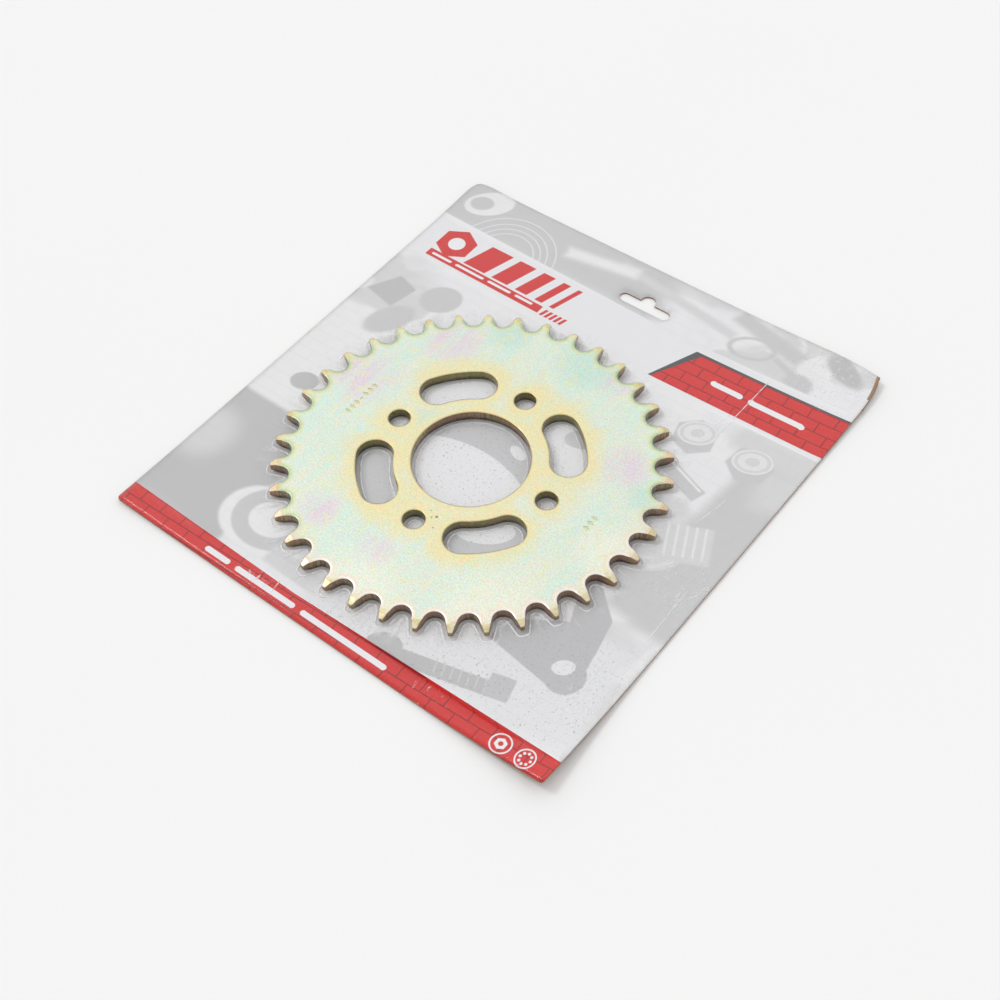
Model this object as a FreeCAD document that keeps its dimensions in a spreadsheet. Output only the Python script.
import FreeCAD, Part

import math
import os

import Sketcher

# A motorcycle rear sprocket for 520 chain, held on a printed hang card under a clear skin film.
# Millimetres. The origin is on the bore's axis at the plate's underside, +Z points out of the
# card, +X runs along the card's width and +Y along its length, towards the hang hole.

doc = FreeCAD.newDocument("RearSprocketPack")

# ---------------------------------------------------------------- driving dimensions

SIZES = [
    # alias, value, what it sets
    ("chain_pitch", 15.875, "pitch of a 520 chain"),
    ("tooth_count", 38, "teeth round the plate"),
    ("seat_radius", 5.13, "roller seat at the bottom of each tooth gap"),
    ("seat_half_angle", 68.8, "half of the arc that the roller seat covers, degrees"),
    ("tip_rise", 4.9, "tooth tip above the pitch circle"),
    ("plate_thickness", 6.0, "plate thickness"),
    ("relief_length", 3.6, "side relief of the teeth, along the radius"),
    ("relief_depth", 1.5, "side relief of the teeth, into each face"),
    ("bore_diameter", 60.4, "centre bore that locates on the wheel hub"),
    ("bolt_circle", 92.0, "pitch circle of the bolt holes"),
    ("bolt_hole", 11.4, "diameter of a bolt hole"),
    ("bolt_count", 4, "bolt holes, and slots between them"),
    ("tooth_turn", 3.2, "angle from a bolt hole to the next tooth gap, degrees"),
    ("slot_ring", 97.0, "diameter of the circle that the curved slots follow"),
    ("slot_width", 18.8, "width of a curved slot"),
    ("slot_half_angle", 13.1, "half of the angle between a slot's end centres, degrees"),
    ("lay_turn", 1.0, "turn of the plate on its card, degrees"),
    ("card_width", 266.0, "card along X"),
    ("card_length", 292.0, "card along Y"),
    ("card_thickness", 1.0, "card board thickness"),
    ("card_corner", 2.0, "radius of the card's corners"),
    ("card_shift_x", 3.5, "card's middle from the bore axis along X"),
    ("card_shift_y", 25.4, "card's middle from the bore axis along Y"),
    ("hang_width", 32.0, "hang hole from end to end"),
    ("hang_height", 6.4, "height of the hang hole's bar"),
    ("hang_hump", 4.4, "radius of the round hump over the bar"),
    ("hang_hump_rise", 3.6, "hump's centre above the bar's centre line"),
    ("hang_shift", 4.5, "hang hole's centre from the card's middle along X"),
    ("hang_edge", 28.2, "hang hole's centre line below the card's top edge"),
    ("film_thickness", 0.15, "clear skin film"),
    ("film_tooth_gap", 0.4, "air between the tooth tips and the film's wall, at the top"),
    ("film_skirt", 3.0, "how far the film's wall leans out down to the card"),
]

sheet = doc.addObject("Spreadsheet::Sheet", "Sizes")
for row, (alias, value, meaning) in enumerate(SIZES, start=1):
    sheet.set(f"A{row}", meaning)
    sheet.set(f"B{row}", str(value))
    sheet.setAlias(f"B{row}", alias)
doc.recompute()

# ---------------------------------------------------------------- derived sizes, as expressions

PITCH_RADIUS = "Sizes.chain_pitch / (2 * sin(180 deg / Sizes.tooth_count))"
TIP_RADIUS = f"({PITCH_RADIUS} + Sizes.tip_rise)"
RELIEF_RADIUS = f"({TIP_RADIUS} - Sizes.relief_length)"
BORE_RADIUS = "Sizes.bore_diameter / 2"
SLOT_RING_RADIUS = "Sizes.slot_ring / 2"
CARD_LEFT = "(Sizes.card_shift_x - Sizes.card_width / 2)"
CARD_RIGHT = "(Sizes.card_shift_x + Sizes.card_width / 2)"
CARD_BOTTOM = "(Sizes.card_shift_y - Sizes.card_length / 2)"
CARD_TOP = "(Sizes.card_shift_y + Sizes.card_length / 2)"
HANG_X = "(Sizes.card_shift_x + Sizes.hang_shift)"
HANG_Y = f"({CARD_TOP} - Sizes.hang_edge)"
FILM_TOP_RADIUS = f"({TIP_RADIUS} + Sizes.film_tooth_gap)"
FILM_BASE_RADIUS = f"({FILM_TOP_RADIUS} + Sizes.film_skirt)"

ROOT = -1          # the sketch's origin, as a geometry id
X_AXIS = -1        # the sketch's horizontal axis
Y_AXIS = -2        # the sketch's vertical axis
START, END, CENTRE = 1, 2, 3
UP = FreeCAD.Vector(0, 0, 1)


def value(expression):
    """The number that an expression gives with the sheet's present sizes."""
    result = sheet.evalExpression(expression)
    return float(getattr(result, "Value", result))


def new_body(label):
    body = doc.addObject("PartDesign::Body", label)
    body.Label = label
    return body


def new_sketch(body, name, role):
    """A sketch on one of the body's own origin planes."""
    plane = next(item for item in body.Origin.OriginFeatures if item.Role == role)
    sketch = body.newObject("Sketcher::SketchObject", name)
    sketch.AttachmentSupport = [(plane, "")]
    sketch.MapMode = "FlatFace"
    return sketch


def turn_sketch(sketch, angle):
    """Turn a whole sketch about the bore's axis."""
    sketch.AttachmentOffset = FreeCAD.Placement(FreeCAD.Vector(), FreeCAD.Rotation(UP, 0))
    sketch.setExpression("AttachmentOffset.Rotation.Angle", angle)


def pin(sketch, geometry, vertex, x, y):
    """Fix a point at the expressions x and y; "0" puts it on the axis."""
    for kind, axis, expression in (("DistanceX", Y_AXIS, x), ("DistanceY", X_AXIS, y)):
        if expression == "0":
            sketch.addConstraint(Sketcher.Constraint("PointOnObject", geometry, vertex, axis))
        else:
            constraint = Sketcher.Constraint(kind, ROOT, START, geometry, vertex, value(expression))
            number = sketch.addConstraint(constraint)
            sketch.setExpression(f"Constraints[{number}]", expression)


def set_size(sketch, kind, geometry, expression):
    number = sketch.addConstraint(Sketcher.Constraint(kind, geometry, value(expression)))
    sketch.setExpression(f"Constraints[{number}]", expression)


def join(sketch, first, first_vertex, second, second_vertex, kind="Coincident"):
    sketch.addConstraint(Sketcher.Constraint(kind, first, first_vertex, second, second_vertex))


def polygon(sketch, corners):
    """A closed outline through corners given as pairs of expressions."""
    points = [FreeCAD.Vector(value(x), value(y), 0) for x, y in corners]
    lines = []
    for index, point in enumerate(points):
        following = points[(index + 1) % len(points)]
        lines.append(sketch.addGeometry(Part.LineSegment(point, following)))
    for index, line in enumerate(lines):
        join(sketch, line, END, lines[(index + 1) % len(lines)], START)
        pin(sketch, line, START, *corners[index])


def circle(sketch, x, y, radius):
    centre = FreeCAD.Vector(value(x), value(y), 0)
    ring = sketch.addGeometry(Part.Circle(centre, UP, value(radius)))
    pin(sketch, ring, CENTRE, x, y)
    set_size(sketch, "Radius", ring, radius)


def arc_through(sketch, centre, radius, start, end):
    """An arc about a point from one angle to another, anticlockwise, in degrees."""
    whole = Part.Circle(FreeCAD.Vector(*centre, 0), UP, radius)
    arc = Part.ArcOfCircle(whole, math.radians(start), math.radians(end))
    return sketch.addGeometry(arc)


def revolve(body, name, sketch):
    feature = body.newObject("PartDesign::Revolution", name)
    feature.Profile = sketch
    feature.ReferenceAxis = (sketch, ["V_Axis"])
    feature.Angle = 360
    return feature


def pad(body, name, sketch, length, downwards=False):
    feature = body.newObject("PartDesign::Pad", name)
    feature.Profile = sketch
    feature.setExpression("Length", length)
    feature.Reversed = downwards
    return feature


def cut_through(body, name, sketch, upwards):
    """A pocket through everything on one side of the sketch; it has to remove something."""
    doc.recompute()
    before = body.Shape.Volume
    feature = body.newObject("PartDesign::Pocket", name)
    feature.Profile = sketch
    feature.Type = "ThroughAll"
    feature.Reversed = upwards
    doc.recompute()
    if not feature.Shape.Volume < before:
        raise RuntimeError(f"{name} cuts nothing")
    return feature


def repeat_round(body, name, feature, sketch, count):
    pattern = body.newObject("PartDesign::PolarPattern", name)
    pattern.Originals = [feature]
    pattern.Axis = (sketch, ["N_Axis"])
    pattern.Angle = 360
    pattern.setExpression("Occurrences", count)
    body.Tip = pattern
    doc.recompute()
    return pattern


# ---------------------------------------------------------------- sprocket plate

def tooth_gap(sketch):
    """One gap on the X axis: a roller seat, two flanks tangent to it and an open mouth."""
    pitch_radius = value(PITCH_RADIUS)
    seat_radius = value("Sizes.seat_radius")
    half_angle = value("Sizes.seat_half_angle")
    mouth = value(FILM_BASE_RADIUS)
    seat = arc_through(sketch, (pitch_radius, 0), seat_radius, 180 - half_angle, 180 + half_angle)
    upper = sketch.Geometry[seat].StartPoint
    lower = sketch.Geometry[seat].EndPoint
    spread = upper.y + (mouth - upper.x) / value("tan(Sizes.seat_half_angle * 1 deg)")
    upper_mouth = FreeCAD.Vector(mouth, spread, 0)
    lower_mouth = FreeCAD.Vector(mouth, -spread, 0)
    upper_flank = sketch.addGeometry(Part.LineSegment(upper_mouth, upper))
    lower_flank = sketch.addGeometry(Part.LineSegment(lower, lower_mouth))
    opening = sketch.addGeometry(Part.LineSegment(lower_mouth, upper_mouth))
    join(sketch, upper_flank, END, seat, START, "Tangent")
    join(sketch, seat, END, lower_flank, START, "Tangent")
    join(sketch, lower_flank, END, opening, START)
    join(sketch, opening, END, upper_flank, START)
    pin(sketch, seat, CENTRE, PITCH_RADIUS, "0")
    set_size(sketch, "Radius", seat, "Sizes.seat_radius")
    sketch.addConstraint(Sketcher.Constraint("Symmetric", seat, START, seat, END, X_AXIS))
    set_size(sketch, "Angle", lower_flank, "Sizes.seat_half_angle * 1 deg - 90 deg")
    sketch.addConstraint(Sketcher.Constraint("Vertical", opening))
    reach = Sketcher.Constraint("DistanceX", ROOT, START, opening, START, mouth)
    sketch.setExpression(f"Constraints[{sketch.addConstraint(reach)}]", FILM_BASE_RADIUS)


def curved_slot(sketch):
    """A slot with round ends that follows a circle about the bore, centred on the X axis."""
    ring = value(SLOT_RING_RADIUS)
    half_width = value("Sizes.slot_width") / 2
    half_angle = value("Sizes.slot_half_angle")
    end_x = f"{SLOT_RING_RADIUS} * cos(Sizes.slot_half_angle * 1 deg)"
    end_y = f"{SLOT_RING_RADIUS} * sin(Sizes.slot_half_angle * 1 deg)"
    upper_centre = (value(end_x), value(end_y))
    lower_centre = (value(end_x), -value(end_y))
    outer = arc_through(sketch, (0, 0), ring + half_width, -half_angle, half_angle)
    upper = arc_through(sketch, upper_centre, half_width, half_angle, half_angle + 180)
    inner = arc_through(sketch, (0, 0), ring - half_width, -half_angle, half_angle)
    lower = arc_through(sketch, lower_centre, half_width, 180 - half_angle, 360 - half_angle)
    join(sketch, outer, END, upper, START, "Tangent")
    join(sketch, upper, END, inner, END, "Tangent")
    join(sketch, inner, START, lower, START, "Tangent")
    join(sketch, lower, END, outer, START, "Tangent")
    join(sketch, outer, CENTRE, ROOT, START)
    pin(sketch, upper, CENTRE, end_x, end_y)
    pin(sketch, lower, CENTRE, end_x, f"-{end_y}")
    set_size(sketch, "Radius", upper, "Sizes.slot_width / 2")


def make_sprocket_plate():
    body = new_body("sprocket_plate")

    blank = new_sketch(body, "BlankSection", "XZ_Plane")
    polygon(blank, [
        (BORE_RADIUS, "0"),
        (RELIEF_RADIUS, "0"),
        (TIP_RADIUS, "Sizes.relief_depth"),
        (TIP_RADIUS, "Sizes.plate_thickness - Sizes.relief_depth"),
        (RELIEF_RADIUS, "Sizes.plate_thickness"),
        (BORE_RADIUS, "Sizes.plate_thickness"),
    ])
    revolve(body, "Blank", blank)

    gap = new_sketch(body, "ToothGap", "XY_Plane")
    tooth_gap(gap)
    turn_sketch(gap, "Sizes.tooth_turn * 1 deg")
    cut = cut_through(body, "GapCut", gap, upwards=True)
    repeat_round(body, "Teeth", cut, gap, "Sizes.tooth_count")

    bolt = new_sketch(body, "BoltHole", "XY_Plane")
    circle(bolt, "Sizes.bolt_circle / 2", "0", "Sizes.bolt_hole / 2")
    cut = cut_through(body, "BoltCut", bolt, upwards=True)
    repeat_round(body, "BoltHoles", cut, bolt, "Sizes.bolt_count")

    slot = new_sketch(body, "CurvedSlot", "XY_Plane")
    curved_slot(slot)
    turn_sketch(slot, "180 deg / Sizes.bolt_count")
    cut = cut_through(body, "SlotCut", slot, upwards=True)
    repeat_round(body, "Slots", cut, slot, "Sizes.bolt_count")

    body.setExpression("Placement.Rotation.Angle", "Sizes.lay_turn * 1 deg")
    return body


# ---------------------------------------------------------------- card and film

def card_outline(sketch):
    """The card's rectangle with its round corners."""
    corner = "Sizes.card_corner"
    centres = [
        (f"{CARD_RIGHT} - {corner}", f"{CARD_BOTTOM} + {corner}"),
        (f"{CARD_RIGHT} - {corner}", f"{CARD_TOP} - {corner}"),
        (f"{CARD_LEFT} + {corner}", f"{CARD_TOP} - {corner}"),
        (f"{CARD_LEFT} + {corner}", f"{CARD_BOTTOM} + {corner}"),
    ]
    arcs = []
    for index, (centre_x, centre_y) in enumerate(centres):
        centre = (value(centre_x), value(centre_y))
        start = 270 + 90 * index
        arc = arc_through(sketch, centre, value(corner), start, start + 90)
        pin(sketch, arc, CENTRE, centre_x, centre_y)
        arcs.append(arc)
    set_size(sketch, "Radius", arcs[0], corner)
    for index, arc in enumerate(arcs):
        following = arcs[(index + 1) % len(arcs)]
        start = sketch.Geometry[arc].EndPoint
        end = sketch.Geometry[following].StartPoint
        side = sketch.addGeometry(Part.LineSegment(start, end))
        join(sketch, arc, END, side, START, "Tangent")
        join(sketch, side, END, following, START, "Tangent")


def hang_bar(sketch):
    """The hang hole's long bar, with round ends."""
    radius = "Sizes.hang_height / 2"
    left_x = f"{HANG_X} - Sizes.hang_width / 2 + {radius}"
    right_x = f"{HANG_X} + Sizes.hang_width / 2 - {radius}"
    left = arc_through(sketch, (value(left_x), value(HANG_Y)), value(radius), 90, 270)
    right = arc_through(sketch, (value(right_x), value(HANG_Y)), value(radius), 270, 450)
    pin(sketch, left, CENTRE, left_x, HANG_Y)
    pin(sketch, right, CENTRE, right_x, HANG_Y)
    set_size(sketch, "Radius", left, radius)
    for first, second in ((left, right), (right, left)):
        start = sketch.Geometry[first].EndPoint
        end = sketch.Geometry[second].StartPoint
        side = sketch.addGeometry(Part.LineSegment(start, end))
        join(sketch, first, END, side, START, "Tangent")
        join(sketch, side, END, second, START, "Tangent")


def cut_hang_hole(body, upwards):
    bar = new_sketch(body, "HangBar", "XY_Plane")
    hang_bar(bar)
    cut_through(body, "HangBarCut", bar, upwards)
    hump = new_sketch(body, "HangHump", "XY_Plane")
    circle(hump, HANG_X, f"{HANG_Y} + Sizes.hang_hump_rise", "Sizes.hang_hump")
    cut_through(body, "HangHumpCut", hump, upwards)


def make_backing_card():
    """The board lies under the plate, its printed face at z = 0."""
    body = new_body("backing_card")
    outline = new_sketch(body, "CardOutline", "XY_Plane")
    card_outline(outline)
    pad(body, "Board", outline, "Sizes.card_thickness", downwards=True)
    cut_hang_hole(body, upwards=False)
    return body


def make_skin_film():
    """The film covers the card, stands over the teeth as a skirt and lies flat on the plate."""
    body = new_body("skin_film")
    outline = new_sketch(body, "FilmOutline", "XY_Plane")
    card_outline(outline)
    pad(body, "FilmSheet", outline, "Sizes.film_thickness")
    opening = new_sketch(body, "PlateOpening", "XY_Plane")
    circle(opening, "0", "0", FILM_BASE_RADIUS)
    cut_through(body, "PlateOpeningCut", opening, upwards=True)
    cut_hang_hole(body, upwards=True)

    outer_top = f"({FILM_TOP_RADIUS} + Sizes.film_thickness)"
    outer_base = f"({FILM_BASE_RADIUS} + Sizes.film_thickness)"
    cover = new_sketch(body, "CoverSection", "XZ_Plane")
    polygon(cover, [
        ("0", "Sizes.plate_thickness"),
        (FILM_TOP_RADIUS, "Sizes.plate_thickness"),
        (FILM_BASE_RADIUS, "0"),
        (outer_base, "0"),
        (outer_base, "Sizes.film_thickness"),
        (outer_top, "Sizes.plate_thickness + Sizes.film_thickness"),
        ("0", "Sizes.plate_thickness + Sizes.film_thickness"),
    ])
    revolve(body, "Cover", cover)
    return body


# ---------------------------------------------------------------- build, check and write

pieces = [make_sprocket_plate(), make_backing_card(), make_skin_film()]
doc.recompute()

for item in doc.Objects:
    if {"Invalid", "Error"} & set(item.State):
        raise RuntimeError(f"{item.Label} failed: {item.State}")
for piece in pieces:
    if piece.Shape.isNull() or not piece.Shape.isValid() or len(piece.Shape.Solids) != 1:
        raise RuntimeError(f"{piece.Label} has no single valid solid")

os.makedirs("parts", exist_ok=True)
for piece in pieces:
    piece.Shape.exportStep(f"parts/{piece.Label}.step")
    box = piece.Shape.BoundBox
    print(f"{piece.Label}: volume {piece.Shape.Volume:.1f} mm3, "
          f"x {box.XMin:.2f}..{box.XMax:.2f}, y {box.YMin:.2f}..{box.YMax:.2f}, "
          f"z {box.ZMin:.2f}..{box.ZMax:.2f}")
